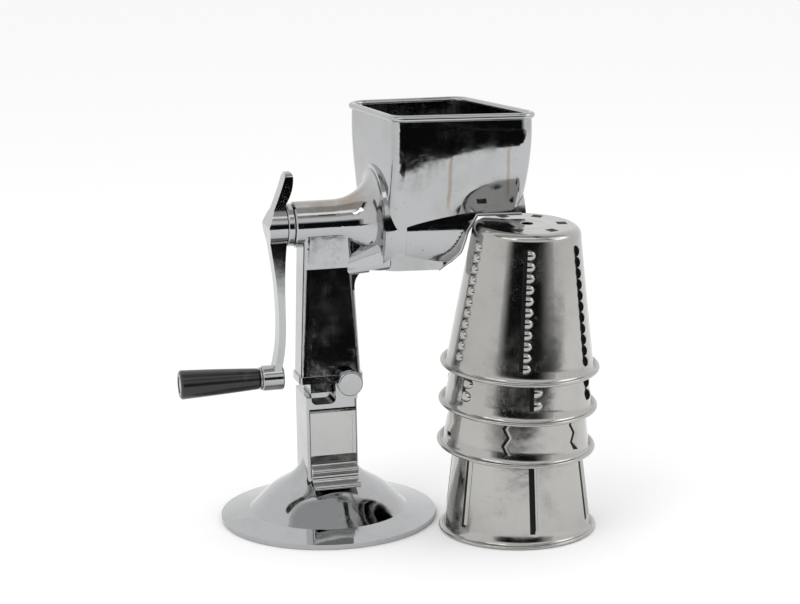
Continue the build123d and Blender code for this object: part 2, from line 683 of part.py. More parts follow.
with BuildPart() as grip_washer:
    with BuildSketch(Plane.YZ.offset(crank_boss_x0 - slip - washer_t)):
        with Locations((0, grip_z)):
            Circle(grip_r0 + 0.5)
            Circle(spindle_r + run, mode=Mode.SUBTRACT)
    extrude(amount=washer_t)

with BuildPart() as grip:
    with BuildSketch(Plane.XZ):
        with BuildLine():
            Polyline((grip_end_x + grip_len, grip_z), (grip_end_x + grip_len, grip_z + grip_r0 - 0.8),
                     (grip_end_x + grip_len - 0.8, grip_z + grip_r0))
            Spline((grip_end_x + grip_len - 0.8, grip_z + grip_r0),
                   (grip_end_x + grip_len * 0.45, grip_z + (grip_r0 + grip_r1) / 2 + 0.35),
                   (grip_end_x + 1.2, grip_z + grip_r1))
            Polyline((grip_end_x + 1.2, grip_z + grip_r1), (grip_end_x, grip_z + grip_r1 - 1.2),
                     (grip_end_x, grip_z), (grip_end_x + grip_len, grip_z))
        make_face()
    revolve(axis=Axis((0, 0, grip_z), (1, 0, 0)))
    with BuildSketch(Plane.YZ.offset(grip_end_x - 1)):
        with Locations((0, grip_z)):
            Circle(spindle_r + run)
    extrude(amount=grip_len + 2, mode=Mode.SUBTRACT)
    with BuildSketch(Plane.YZ.offset(grip_end_x - 1)):
        with Locations((0, grip_z)):
            Circle(spindle_r + 2.7)
    extrude(amount=3.5, mode=Mode.SUBTRACT)


# ---------------------------------------------------------------- drum cones
def cone_blank(slope):
    """Closed-ended cone on its open end, with curled rim, shoulder and drive holes."""
    top_r = cone_big_r - slope * cone_h
    with BuildPart() as blank:
        with BuildSketch(Plane.XZ):
            with BuildLine():
                skin = FilletPolyline((cone_big_r, 1.6), (top_r, cone_h), (centre_hole_r, cone_h),
                                      radius=shoulder_r)
                lining = FilletPolyline((centre_hole_r, cone_h - cone_wall),
                                        (top_r - cone_wall + slope * cone_wall, cone_h - cone_wall),
                                        (cone_big_r - cone_wall, 1.6), radius=shoulder_r - cone_wall)
                Line(skin @ 1, lining @ 0)
                Line(lining @ 1, skin @ 0)
            make_face()
            with BuildLine():
                Polyline((cone_big_r - cone_wall, 0.8), (rim_r - curl_r, 0.8), (rim_r - curl_r, 1.8),
                         (cone_big_r + 0.6, 2.0), (cone_big_r - 0.15, 2.9), (cone_big_r - cone_wall, 2.9),
                         (cone_big_r - cone_wall, 0.8))
            make_face()
            with Locations((rim_r - curl_r, curl_r)):
                Circle(curl_r)
        revolve(axis=Axis.Z)
        with BuildSketch(Plane.XY.offset(cone_h - 2)):
            with PolarLocations(hole_ring_r, columns, start_angle=hole_phase):
                Rectangle(hole_side, hole_side, rotation=45)
        extrude(amount=4, mode=Mode.SUBTRACT)
    return blank.part


def column_plane(slope, angle, out=0.0):
    """Plane on the wall of a cone at an angle round it, its y axis running up the wall."""
    a = radians(angle)
    lean = sqrt(1 + slope * slope)
    radius = cone_big_r - slope * cone_h / 2
    normal = Vector(cos(a) / lean, sin(a) / lean, slope / lean)
    origin = Vector(radius * cos(a), radius * sin(a), cone_h / 2) + normal * out
    return Plane(origin=origin, x_dir=(-sin(a), cos(a), 0), z_dir=normal)


def placed(x, y, z, spin, tilt_x=0.0, tilt_y=0.0):
    """Place of a cone: centre of its open end, its spin and its lean."""
    return Location((x, y, z), (degrees(-tilt_y), degrees(tilt_x), spin))


def on_stack(rise, spin):
    """Place of one of the leaning cones, all on one leaning axis."""
    climb = rise - rise_wave
    return placed(stack_x - 1.25 + lean_x * climb, stack_y - 0.8 + lean_y * climb, rise, spin, lean_x, lean_y)


def scallops(heel, cusp, bite):
    """Slot with one straight edge and a row of half-round bites along the other."""
    low = -scallop_count * scallop_pitch / 2 - 1
    high = low + scallop_count * scallop_pitch
    with BuildLine() as edge:
        Polyline((cusp, low), (heel, low), (heel, high), (cusp, high))
        for k in range(scallop_count):
            top = high - k * scallop_pitch
            ThreePointArc((cusp, top), (bite, top - scallop_pitch / 2), (cusp, top - scallop_pitch))
    make_face(edge.edges())


def round_noses(grow):
    """Row of round-nosed openings."""
    for k in range(coarse_count):
        level = (k - (coarse_count - 1) / 2) * coarse_pitch - 1
        with BuildLine() as nose:
            Line((-2.6, level - 2.9 - grow), (-2.6, level + 2.9 + grow))
            ThreePointArc((-2.6, level + 2.9 + grow), (2.4 + grow, level), (-2.6, level - 2.9 - grow))
        make_face(nose.edges())


def zigzag(left, right):
    """Zigzag band between two offsets from the middle of a column."""
    low = -wave_count * wave_pitch / 2 - 1
    bends = [(wave_swing * (-1) ** k, low + (k + 0.5) * wave_pitch) for k in range(wave_count)]
    with BuildLine() as band:
        Polyline(*[(x + left, y) for x, y in bends], *[(x + right, y) for x, y in reversed(bends)],
                 (bends[0][0] + left, bends[0][1]))
    make_face(band.edges())


def columns_of(slope, start, height, pattern, *sizes):
    """The same pattern on every column of a cone, from a depth in the wall outwards."""
    with BuildPart() as row:
        for k in range(columns):
            with BuildSketch(column_plane(slope, 360 / columns * k, start)):
                pattern(*sizes)
            extrude(amount=height)
    return row.part


def straight_blade():
    with Locations((slice_w / 2 + blade_t / 2, -1)):
        Rectangle(blade_t, slice_len - 6)


def straight_slot():
    with Locations((0, -1)):
        SlotOverall(slice_len, slice_w, rotation=90)


def drum_cone(slope, place, lips, cuts):
    """A cone with its raised lips, pierced and set in its place."""
    with BuildPart() as drum:
        with Locations(place):
            add(cone_blank(slope))
            add(lips)
            add(cuts, mode=Mode.SUBTRACT)
    return drum


cone_scallop = drum_cone(cone_slope, on_stack(rise_scallop, scallop_spin),
                         columns_of(cone_slope, -0.5, 0.5 + scallop_lip, scallops, 0.0,
                                    scallop_cusp + 0.7 * lip_t, scallop_bite + lip_t),
                         columns_of(cone_slope, -2, 8, scallops, -scallop_slit, scallop_cusp, scallop_bite))
cone_coarse = drum_cone(cone_slope, on_stack(rise_coarse, coarse_spin),
                        columns_of(cone_slope, -0.5, 0.5 + coarse_lip, round_noses, lip_t),
                        columns_of(cone_slope, -2, 8, round_noses, 0.0))
cone_wavy = drum_cone(cone_slope, on_stack(rise_wave, wavy_spin),
                      columns_of(cone_slope, -0.5, 0.5 + wavy_lip, zigzag, wave_slit / 2, wave_slit / 2 + lip_t),
                      columns_of(cone_slope, -2, 8, zigzag, -wave_slit / 2, wave_slit / 2))
cone_slicer = drum_cone(slicer_slope, placed(stack_x, stack_y, 0, slicer_spin),
                        columns_of(slicer_slope, -0.5, 0.5 + blade_h, straight_blade),
                        columns_of(slicer_slope, -2, 4, straight_slot))


# ---------------------------------------------------------------- separate pieces out
pedestal.part.label = "pedestal"
suction_cup.part.label = "suction_cup"
cup_plate.part.label = "cup_plate"
lift_stem.part.label = "lift_stem"
link_pin.part.label = "link_pin"
lever_pin.part.label = "lever_pin"
suction_lever.part.label = "suction_lever"
housing.part.label = "housing"
lock_screw.part.label = "lock_screw"
crank_bush.part.label = "crank_bush"
drum_bush.part.label = "drum_bush"
drive_shaft.part.label = "drive_shaft"
drive_hub.part.label = "drive_hub"
hub_screw.part.label = "hub_screw"
crank_collar.part.label = "crank_collar"
crank_arm.part.label = "crank_arm"
crank_grub_screw.part.label = "crank_grub_screw"
grip_spindle.part.label = "grip_spindle"
grip_washer.part.label = "grip_washer"
grip.part.label = "grip"
cone_scallop.part.label = "cone_scallop"
cone_coarse.part.label = "cone_coarse"
cone_wavy.part.label = "cone_wavy"
cone_slicer.part.label = "cone_slicer"

for piece in (pedestal, suction_cup, cup_plate, lift_stem, link_pin, lever_pin, suction_lever,
              housing, lock_screw, crank_bush, drum_bush, drive_shaft, drive_hub, hub_screw,
              crank_collar, crank_arm, crank_grub_screw, grip_spindle, grip_washer, grip,
              cone_scallop, cone_coarse, cone_wavy, cone_slicer):
    export_step(piece.part, f"parts/{piece.part.label}.step")
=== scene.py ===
import json
from math import atan2, cos, pi, radians, sin

import bpy
import numpy as np
from mathutils import Matrix, Vector


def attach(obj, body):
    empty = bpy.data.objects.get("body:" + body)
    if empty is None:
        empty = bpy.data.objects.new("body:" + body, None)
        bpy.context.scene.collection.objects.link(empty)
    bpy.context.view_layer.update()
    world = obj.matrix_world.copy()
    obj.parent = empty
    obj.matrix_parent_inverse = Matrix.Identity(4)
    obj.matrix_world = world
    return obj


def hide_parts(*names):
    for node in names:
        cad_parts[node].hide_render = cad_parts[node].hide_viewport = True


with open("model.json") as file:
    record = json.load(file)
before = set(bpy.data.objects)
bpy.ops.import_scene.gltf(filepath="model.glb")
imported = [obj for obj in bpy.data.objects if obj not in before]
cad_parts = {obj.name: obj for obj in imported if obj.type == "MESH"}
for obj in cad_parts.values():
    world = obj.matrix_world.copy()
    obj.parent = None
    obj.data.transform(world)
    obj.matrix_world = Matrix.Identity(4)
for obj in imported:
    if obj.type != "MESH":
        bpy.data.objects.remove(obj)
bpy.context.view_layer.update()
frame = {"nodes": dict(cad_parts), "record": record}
mm = 0.001

view = {
    "place": (-0.2749, -1.2132, 0.4179),
    "forward": (0.2526, 0.9428, -0.2173),
    "right": (0.9659, -0.2588, 0.0),
    "roll": 0.0140,                       # turn about the line of sight
    "lens": 90.0,                         # mm on a 36 mm wide sensor
}


def addCamera(view):
    # right and up are the level pair turned by the roll; the camera looks along minus its own z
    forward = Vector(view["forward"]).normalized()
    level = Vector(view["right"])
    level = (level - forward * level.dot(forward)).normalized()
    upright = level.cross(forward)
    roll = view["roll"]
    right = level * cos(roll) - upright * sin(roll)
    up = level * sin(roll) + upright * cos(roll)
    data = bpy.data.cameras.new("photoCamera")
    data.lens, data.sensor_width = view["lens"], 36.0
    data.clip_start, data.clip_end = 0.05, 30.0
    data.dof.use_dof = False
    camera = bpy.data.objects.new("photoCamera", data)
    turn = Matrix((right, up, -forward)).transposed()
    camera.matrix_world = Matrix.Translation(view["place"]) @ turn.to_4x4()
    bpy.context.scene.collection.objects.link(camera)
    bpy.context.scene.camera = camera


addCamera(view)
print("camera placed")


def addNode(tree, kind, settings=None, **inputs):
    # one node, its settings by attribute, its inputs by name: a socket links, a number or tuple is set
    node = tree.nodes.new(kind)
    for name, value in (settings or {}).items():
        setattr(node, name, value)
    for name, value in inputs.items():
        key = int(name[2:]) if name.startswith("in") and name[2:].isdigit() else name.replace("_", " ")
        socket = node.inputs[key]
        if isinstance(value, bpy.types.NodeSocket):
            tree.links.new(value, socket)
        else:
            socket.default_value = value
    return node


def calc(tree, operation, a, b=0.0, clamp=False):
    # one number from two by the named operation
    node = addNode(tree, "ShaderNodeMath", {"operation": operation, "use_clamp": clamp}, in0=a, in1=b)
    return node.outputs[0]


def band(tree, value, low, high):
    # 0 below low, 1 above high, smooth between
    node = addNode(tree, "ShaderNodeMapRange", {"interpolation_type": "SMOOTHSTEP"},
                   Value=value, From_Min=low, From_Max=high)
    return node.outputs[0]


def mix(tree, share, a, b):
    # colour a turning to colour b as share goes from 0 to 1
    node = addNode(tree, "ShaderNodeMix", {"data_type": "RGBA"}, in0=share, in6=a, in7=b)
    return node.outputs[2]


def noise(tree, place, scale, detail=3.0, rough=0.5, stretch=None):
    # grey noise at a place, in features per metre, stretched by a vector if given
    if stretch:
        place = addNode(tree, "ShaderNodeMapping", Vector=place, Scale=stretch).outputs[0]
    node = addNode(tree, "ShaderNodeTexNoise", Vector=place, Scale=scale, Detail=detail, Roughness=rough)
    return node.outputs["Fac"]


def objectPlace(tree):
    # the point's place in the row frame, metres
    return addNode(tree, "ShaderNodeTexCoord").outputs["Object"]


def newGroup(name, inputs, outputs):
    # empty shader group with its sockets; returns the tree, the input node and the output node
    tree = bpy.data.node_groups.new(name, "ShaderNodeTree")
    for title, kind, value in inputs:
        socket = tree.interface.new_socket(title, in_out="INPUT", socket_type=kind)
        if value is not None:
            socket.default_value = value
    for title, kind in outputs:
        tree.interface.new_socket(title, in_out="OUTPUT", socket_type=kind)
    return tree, tree.nodes.new("NodeGroupInput"), tree.nodes.new("NodeGroupOutput")


handlingLook = {
    "smearScale": 38.0, "smearBand": (0.44, 0.72),        # features per metre; noise values from none to full
    "streakScale": 260.0, "streakStretch": (1.0, 1.0, 0.16),
    "speckScale": 950.0, "speckBand": (0.735, 0.80),
    "dentScale": 55.0, "pitScale": 420.0, "pitShare": 0.06,
}


def makeHandling(look):
    # smears: broad noise times fine streaks; specks: the bright tips of a fine noise; dents: two noises added
    vec, val = "NodeSocketVector", "NodeSocketFloat"
    tree, given, out = newGroup("handling", [("Place", vec, None), ("Amount", val, 1.0)],
                                [("Smear", val), ("Specks", val), ("Dents", val)])
    place, amount = given.outputs["Place"], given.outputs["Amount"]
    broad = band(tree, noise(tree, place, look["smearScale"], 4.0, 0.62), *look["smearBand"])
    streak = noise(tree, place, look["streakScale"], 3.0, 0.6, stretch=look["streakStretch"])
    smear = calc(tree, "MULTIPLY", calc(tree, "MULTIPLY", broad, streak), amount)
    specks = band(tree, noise(tree, place, look["speckScale"], 1.0, 0.4), *look["speckBand"])
    specks = calc(tree, "MULTIPLY", specks, amount)
    pits = calc(tree, "MULTIPLY", noise(tree, place, look["pitScale"], 2.0, 0.5), look["pitShare"])
    dents = calc(tree, "ADD", noise(tree, place, look["dentScale"], 2.0, 0.5), pits)
    for title, value in (("Smear", smear), ("Specks", specks), ("Dents", dents)):
        tree.links.new(value, out.inputs[title])
    return tree


scratchLook = {
    "runs": ((0.4, (1.0, 1.0, 0.05)), (1.9, (0.06, 1.0, 1.0))),        # turn in radians, stretch of the noise
    "scale": 420.0, "half": 0.006,
    "maskScale": 70.0, "maskBand": (0.52, 0.62),
}


def makeScratches(look):
    # thin lines where a stretched noise crosses its middle value, thinned by a broad mask
    vec, val = "NodeSocketVector", "NodeSocketFloat"
    tree, given, out = newGroup("scratches", [("Place", vec, None)], [("Lines", val)])
    place = given.outputs["Place"]
    lines = None
    for turn, stretch in look["runs"]:
        turned = addNode(tree, "ShaderNodeMapping", Vector=place, Rotation=(turn, turn * 0.6, turn * 1.3))
        grain = noise(tree, turned.outputs[0], look["scale"], 2.0, 0.5, stretch=stretch)
        edge = calc(tree, "ABSOLUTE", calc(tree, "SUBTRACT", grain, 0.5))
        line = calc(tree, "SUBTRACT", 1.0, band(tree, edge, 0.0, look["half"]))
        lines = line if lines is None else calc(tree, "MAXIMUM", lines, line)
    where = band(tree, noise(tree, place, look["maskScale"], 2.0), *look["maskBand"])
    tree.links.new(calc(tree, "MULTIPLY", lines, where), out.inputs["Lines"])
    return tree


handling, scratches = makeHandling(handlingLook), makeScratches(scratchLook)


wearLook = {
    "speckDepth": 0.75, "speckColour": (0.10, 0.085, 0.07, 1.0),
    "scratchRough": 0.18, "scratchStrength": 0.15, "scratchDepth": 0.00002,        # metres
}


def metal(name, look):
    # polished metal: smears roughen and dull it, specks and scratches darken it, dents bend its mirror
    material = bpy.data.materials.new(name)
    material.use_nodes = True
    tree = material.node_tree
    shader = tree.nodes["Principled BSDF"]
    place = objectPlace(tree)
    hand = addNode(tree, "ShaderNodeGroup", {"node_tree": handling}, Place=place, Amount=look["wear"])
    lines = addNode(tree, "ShaderNodeGroup", {"node_tree": scratches}, Place=place).outputs[0]
    smear, specks, dents = (hand.outputs[key] for key in ("Smear", "Specks", "Dents"))
    colour = mix(tree, calc(tree, "MULTIPLY", smear, look["haze"]), look["colour"], look["dull"])
    share = calc(tree, "MULTIPLY", specks, wearLook["speckDepth"])
    colour = mix(tree, share, colour, wearLook["speckColour"])
    for stain in look.get("stains", ()):
        colour = stain(tree, place, colour)
    tree.links.new(colour, shader.inputs["Base Color"])
    rough = calc(tree, "ADD", look["rough"], calc(tree, "MULTIPLY", smear, look["roughSmear"]))
    rough = calc(tree, "ADD", rough, calc(tree, "MULTIPLY", lines, wearLook["scratchRough"]))
    tree.links.new(rough, shader.inputs["Roughness"])
    bump = addNode(tree, "ShaderNodeBump", Height=dents, Strength=look["waves"], Distance=look["waveDepth"])
    if "draft" in look:
        height = addNode(tree, "ShaderNodeSeparateXYZ", Vector=place).outputs["Z"]
        lean = calc(tree, "MINIMUM", calc(tree, "MAXIMUM", height, look["draft"][0]), look["draft"][1])
        bump = addNode(tree, "ShaderNodeBump", {"invert": True}, Height=lean, Distance=look["draft"][2],
                       Normal=bump.outputs[0])
    scored = addNode(tree, "ShaderNodeBump", Height=calc(tree, "SUBTRACT", 1.0, lines),
                     Strength=wearLook["scratchStrength"], Distance=wearLook["scratchDepth"],
                     Normal=bump.outputs[0])
    tree.links.new(scored.outputs[0], shader.inputs["Normal"])
    shader.inputs["Metallic"].default_value = 1.0
    material.diffuse_color = look["colour"]
    return material


dripLook = {
    "front": (-0.040, -0.034), "colour": (0.27, 0.20, 0.125, 1.0),
    "wobble": 0.004, "wobbleScale": 60.0, "footFade": 0.012, "headFade": 0.006,
    "runs": ((0.0712, 0.0017, 0.200, 0.252, 0.6),         # x, half width, foot, head, depth of colour
             (0.1065, 0.0014, 0.206, 0.246, 0.5),
             (0.0590, 0.0009, 0.226, 0.250, 0.25)),
}


def drips(tree, place, colour):
    # tan runs down the hopper's front: narrow bands in x that wobble, fading towards both ends
    x, y, z = addNode(tree, "ShaderNodeSeparateXYZ", Vector=place).outputs
    look = dripLook
    front = calc(tree, "SUBTRACT", 1.0, band(tree, y, *look["front"]))
    wander = calc(tree, "SUBTRACT", noise(tree, place, look["wobbleScale"], 2.0), 0.5)
    wobble = calc(tree, "MULTIPLY", wander, look["wobble"])
    for middle, wide, low, high, depth in look["runs"]:
        off = calc(tree, "ABSOLUTE", calc(tree, "SUBTRACT", calc(tree, "ADD", x, wobble), middle))
        share = calc(tree, "SUBTRACT", 1.0, band(tree, off, wide * 0.2, wide))
        share = calc(tree, "MULTIPLY", share, band(tree, z, low, low + look["footFade"]))
        fade = calc(tree, "SUBTRACT", 1.0, band(tree, z, high - look["headFade"], high))
        share = calc(tree, "MULTIPLY", share, fade)
        share = calc(tree, "MULTIPLY", calc(tree, "MULTIPLY", share, front), depth)
        colour = mix(tree, share, colour, look["colour"])
    return colour


tarnishLook = {
    "height": (0.194, 0.212), "reach": (0.012, 0.036), "colour": (0.30, 0.21, 0.12, 1.0),
    "depth": 0.65, "scale": 90.0, "broken": (0.36, 0.60),
}


def neckTarnish(tree, place, colour):
    # brown bloom on top of the neck, strongest towards the crank, broken up by noise
    look = tarnishLook
    x, _, z = addNode(tree, "ShaderNodeSeparateXYZ", Vector=place).outputs
    near = calc(tree, "SUBTRACT", 1.0, band(tree, x, *look["reach"]))
    share = calc(tree, "MULTIPLY", band(tree, z, *look["height"]), near)
    broken = band(tree, noise(tree, place, look["scale"], 4.0, 0.6), *look["broken"])
    share = calc(tree, "MULTIPLY", share, broken)
    return mix(tree, calc(tree, "MULTIPLY", share, look["depth"]), colour, look["colour"])


castingLook = {"colour": (0.43, 0.437, 0.445, 1.0), "dull": (0.31, 0.295, 0.275, 1.0), "wear": 1.0,
               "haze": 0.5, "rough": 0.05, "roughSmear": 0.20, "waves": 0.15, "waveDepth": 0.0006}
casting = metal("castingChrome", castingLook)
housingLook = {**castingLook, "stains": (drips, neckTarnish), "draft": (0.085, 0.166, 0.10)}
housingChrome = metal("housingChrome", housingLook)
plateLook = {**castingLook, "colour": (0.46, 0.46, 0.455, 1.0), "rough": 0.10, "waves": 0.2,
             "draft": (0.024, 0.046, 0.14)}
plate = metal("leverChrome", plateLook)
drumLook = {**castingLook, "colour": (0.43, 0.425, 0.41, 1.0), "rough": 0.11, "waves": 0.35,
            "waveDepth": 0.0005}
drum = metal("drumTin", drumLook)
steelLook = {**castingLook, "colour": (0.42, 0.41, 0.39, 1.0), "rough": 0.24, "waves": 0.4}
steel = metal("dullSteel", steelLook)
bronzeLook = {**castingLook, "colour": (0.56, 0.38, 0.17, 1.0), "dull": (0.25, 0.16, 0.08, 1.0),
              "rough": 0.26}
bronze = metal("oldBronze", bronzeLook)


def dark(name, look):
    # dark moulding, and the near-black painted shade in holes: fine grain roughens it, dust lightens it in
    # broad patches, a shallow noise bends it
    material = bpy.data.materials.new(name)
    material.use_nodes = True
    tree = material.node_tree
    shader = tree.nodes["Principled BSDF"]
    place = objectPlace(tree)
    grain = noise(tree, place, look["grain"], 3.0, 0.6)
    dust = calc(tree, "MULTIPLY", band(tree, noise(tree, place, 60.0, 4.0, 0.6), 0.5, 0.75), look["dust"])
    tree.links.new(mix(tree, dust, look["colour"], look["dustColour"]), shader.inputs["Base Color"])
    rough = calc(tree, "ADD", look["rough"], calc(tree, "MULTIPLY", grain, look["roughGrain"]))
    tree.links.new(rough, shader.inputs["Roughness"])
    bump = addNode(tree, "ShaderNodeBump", Height=grain, Strength=look["bump"], Distance=0.0002)
    tree.links.new(bump.outputs[0], shader.inputs["Normal"])
    shader.inputs["Specular IOR Level"].default_value = look["shine"]
    return material


gripLook = {"colour": (0.006, 0.006, 0.007, 1.0), "dustColour": (0.10, 0.095, 0.09, 1.0), "dust": 0.25,
            "grain": 320.0, "rough": 0.16, "roughGrain": 0.10, "bump": 0.12, "shine": 0.6}
gripBlack = dark("gripPlastic", gripLook)
rubberLook = {**gripLook, "colour": (0.018, 0.018, 0.018, 1.0), "dust": 0.5, "grain": 900.0,
              "rough": 0.62, "bump": 0.4, "shine": 0.35}
rubber = dark("cupRubber", rubberLook)

finishes = {"casting": casting, "plate": plate, "drum": drum, "steel": steel, "bronze": bronze,
            "grip_plastic": gripBlack, "cup_rubber": rubber}
for row in frame["record"]["subparts"]:
    mesh = frame["nodes"][row["node"]].data
    mesh.materials.clear()
    mesh.materials.append(finishes[row["material_slot"]])
frame["nodes"]["housing"].data.materials[0] = housingChrome
print("materials made")


def addSurface(name, points, material, body, wrap=(False, False)):
    # copies x rows x columns x 3 points in metres become grids of four-cornered faces, smooth, in one mesh
    points = np.asarray(points, float)
    copies, rows, columns = points.shape[:3]
    index = np.arange(copies * rows * columns).reshape(copies, rows, columns)
    if wrap[0]:
        index = np.concatenate((index, index[:, :1]), axis=1)
    if wrap[1]:
        index = np.concatenate((index, index[:, :, :1]), axis=2)
    corners = (index[:, :-1, :-1], index[:, :-1, 1:], index[:, 1:, 1:], index[:, 1:, :-1])
    faces = np.stack(corners, axis=-1).reshape(-1, 4)
    mesh = bpy.data.meshes.new(name)
    mesh.vertices.add(points.size // 3)
    mesh.vertices.foreach_set("co", points.ravel())
    mesh.loops.add(faces.size)
    mesh.loops.foreach_set("vertex_index", faces.ravel())
    mesh.polygons.add(len(faces))
    mesh.polygons.foreach_set("loop_start", np.arange(0, faces.size, 4))
    mesh.polygons.foreach_set("use_smooth", np.ones(len(faces), bool))
    mesh.update(calc_edges=True)
    mesh.validate()
    mesh.materials.append(material)
    piece = bpy.data.objects.new(name, mesh)
    bpy.context.scene.collection.objects.link(piece)
    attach(piece, body)
    return piece


def arc(middle, radius, first, last, count):
    # points of a circle from one angle to another, degrees
    angles = np.radians(np.linspace(first, last, count))
    return np.stack((middle[0] + radius * np.cos(angles), middle[1] + radius * np.sin(angles)), axis=-1)


cone = {"high": 90.5, "big": 46.4, "wall": 0.8, "shoulder": 5.5, "rim": 50.0, "curl": 1.3,
        "centreHole": 3.7, "holeRing": 21.9, "holeHalf": 3.1, "holePhase": 39.8, "columns": 6}
stack = {"foot": (109.35, -56.6, 55.0), "lean": (0.034, -0.059)}     # axis of the three leaning cones


def coneTurn(lean, spin):
    # turn about z by the spin, then about y and x by the lean
    a, b, s = -lean[1], lean[0], radians(spin)
    aboutX = np.array(((1, 0, 0), (0, cos(a), -sin(a)), (0, sin(a), cos(a))))
    aboutY = np.array(((cos(b), 0, sin(b)), (0, 1, 0), (-sin(b), 0, cos(b))))
    aboutZ = np.array(((cos(s), -sin(s), 0), (sin(s), cos(s), 0), (0, 0, 1)))
    return aboutX @ aboutY @ aboutZ


def coneProfile(slope):
    # radius and height along the sheet: under the disc, inside wall down, round the curl, outside wall up,
    # shoulder, disc back to its hole
    big, high, wall, bend = cone["big"], cone["high"], cone["wall"], cone["shoulder"]
    lean = atan2(slope, 1.0)
    top = high - bend
    edge = big - slope * top
    inside = np.array(((cone["centreHole"], high - wall), (edge - bend - 1, high - wall)))
    innerBend = arc((edge - bend, top), bend - wall, 80, 5, 7)
    foot = np.array(((big - wall - slope * 4, 4.0), (big - wall, 1.2)))
    curl = arc((cone["rim"] - cone["curl"], cone["curl"]), cone["curl"], 200, 520, 26)
    root = np.array(((big + 0.5, 2.2), (big + 0.02, 3.0), (big - slope * 4.5, 4.5)))
    heights = np.linspace(9, top - 4, 12)
    wallLine = np.stack((big - slope * heights, heights), axis=-1)
    outerBend = arc((edge - bend + 0.05, top), bend, np.degrees(lean) * 0.6, 90, 12)
    ring = np.linspace(edge - bend - 1.5, cone["centreHole"] + 1.2, 12)
    disc = np.stack((ring, high + 0.35 * np.exp(-((ring - 12.0) / 1.1) ** 2)), axis=-1)
    hole = np.array(((cone["centreHole"] + 0.3, high - 0.05), (cone["centreHole"], high - 0.3)))
    return np.concatenate((inside, innerBend, foot, curl, root, wallLine, outerBend, disc, hole))


def columnPoints(drumPlace, slope, u, v, w):
    # points u to the right, v up the slant and w out from the sheet, on each of the cone's columns
    angles = np.radians(np.arange(cone["columns"]) * 360.0 / cone["columns"])
    angles = angles.reshape((-1,) + (1,) * u.ndim)
    lean = np.sqrt(1 + slope * slope)
    radius = cone["big"] - slope * cone["high"] / 2
    out = np.stack((np.cos(angles), np.sin(angles), slope + 0 * angles), axis=-1) / lean
    side = np.stack((-np.sin(angles), np.cos(angles), 0 * angles), axis=-1)
    up = np.stack((-slope * np.cos(angles), -slope * np.sin(angles), 1 + 0 * angles), axis=-1) / lean
    start = np.stack((radius * np.cos(angles), radius * np.sin(angles),
                      cone["high"] / 2 + 0 * angles), axis=-1)
    sunk = w - u * u / (2 * (radius - slope * v))
    local = start + side * u[..., None] + up * v[..., None] + out * sunk[..., None]
    return (drumPlace[0] + local @ drumPlace[1].T) * mm


def domes(look):
    # half ellipsoids closed on the right with their mouths to the left: one per pitch up the column
    levels = (np.arange(look["count"]) - (look["count"] - 1) / 2) * look["pitch"] + look["lift"]
    q, phi = np.meshgrid(np.linspace(0.0, 0.999, 8), np.linspace(0, pi, 13))
    shrink = np.sqrt(1 - q ** 2.2)
    u = look["mouth"] + look["long"] * q
    v = look["half"] * np.cos(phi) * shrink
    w = look["tall"] * np.sin(phi) * shrink - 0.25
    shape = (look["count"],) + q.shape
    return np.broadcast_to(u, shape), levels[:, None, None] + v, np.broadcast_to(w, shape)


def mouths(look):
    # half discs of painted shade that close the open side of each dome
    levels = (np.arange(look["count"]) - (look["count"] - 1) / 2) * look["pitch"] + look["lift"]
    share, phi = np.meshgrid((0.0, 1.0), np.linspace(0, pi, 13))
    v = 0.9 * look["half"] * np.cos(phi) * share
    w = 0.88 * look["tall"] * np.sin(phi) * share
    shape = (look["count"],) + phi.shape
    return np.full(shape, look["mouth"] + 0.12), levels[:, None, None] + v, np.broadcast_to(w, shape)


def strip(path, left, right, lift):
    # ribbon that follows a path of (u, v) points, between two offsets in u
    u = np.stack((path[:, 0] + left, path[:, 0] + right), axis=-1)
    v = np.stack((path[:, 1], path[:, 1]), axis=-1)
    return u[None], v[None], np.full(u.shape, lift)[None]


def ridge(path, left, right, tall):
    # raised lip along a path: a half wave across it
    across = np.linspace(0, 1, 9)
    u = path[:, :1] + left + (right - left) * across
    v = np.broadcast_to(path[:, 1:], u.shape)
    w = np.broadcast_to(tall * np.sin(pi * across) ** 0.7 - 0.1, u.shape)
    return u[None], v[None], w[None]


def drumHoles(turn):
    # six square drive holes near the edge of the disc, each a patch of painted shade just over the disc, not
    # cut through
    angles = np.radians(cone["holePhase"] + np.arange(6) * 60.0)
    corner = cone["holeHalf"] * np.array((((-1, -1), (1, -1)), ((-1, 1), (1, 1))))
    out = np.stack((np.cos(angles), np.sin(angles)), axis=-1)
    side = np.stack((-np.sin(angles), np.cos(angles)), axis=-1)
    outward = (cone["holeRing"] + corner[None, ..., :1]) * out[:, None, None]
    flat = outward + corner[None, ..., 1:] * side[:, None, None]
    high = np.full(flat.shape[:-1] + (1,), cone["high"] + 0.06)
    return (turn[0] + np.concatenate((flat, high), axis=-1) @ turn[1].T) * mm


def drumPiece(name, look):
    # revolved sheet with its punched pattern, the slots, dome mouths and drive holes being patches of painted
    # shade on the closed sheet; every part of it rides on the cone's own body
    slope, rise = look["slope"], look["rise"]
    foot = np.array(look["foot"]) + np.array((*look["lean"], 1.0)) * (rise - look["foot"][2])
    turn = (foot, coneTurn(look["lean"], look["spin"]))
    profile = coneProfile(slope)
    angles = np.linspace(0, 2 * pi, 120, endpoint=False)[:, None]
    local = np.stack((profile[:, 0] * np.cos(angles), profile[:, 0] * np.sin(angles),
                      profile[:, 1] + 0 * angles), axis=-1)
    placed = (turn[0] + local @ turn[1].T) * mm
    sheet = addSurface(name, [placed], drum, look["body"], wrap=(True, False))
    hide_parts(look["node"])
    addSurface(name + "DriveHoleShade", drumHoles(turn), holeShade, look["body"])
    for title, shapes, material in look["pattern"]:
        grids = [columnPoints(turn, slope, *shape) for shape in shapes]
        grids = [grid.reshape((-1,) + grid.shape[-3:]) for grid in grids]
        addSurface(name + title, np.concatenate(grids), material, look["body"])
    print(name, "made")
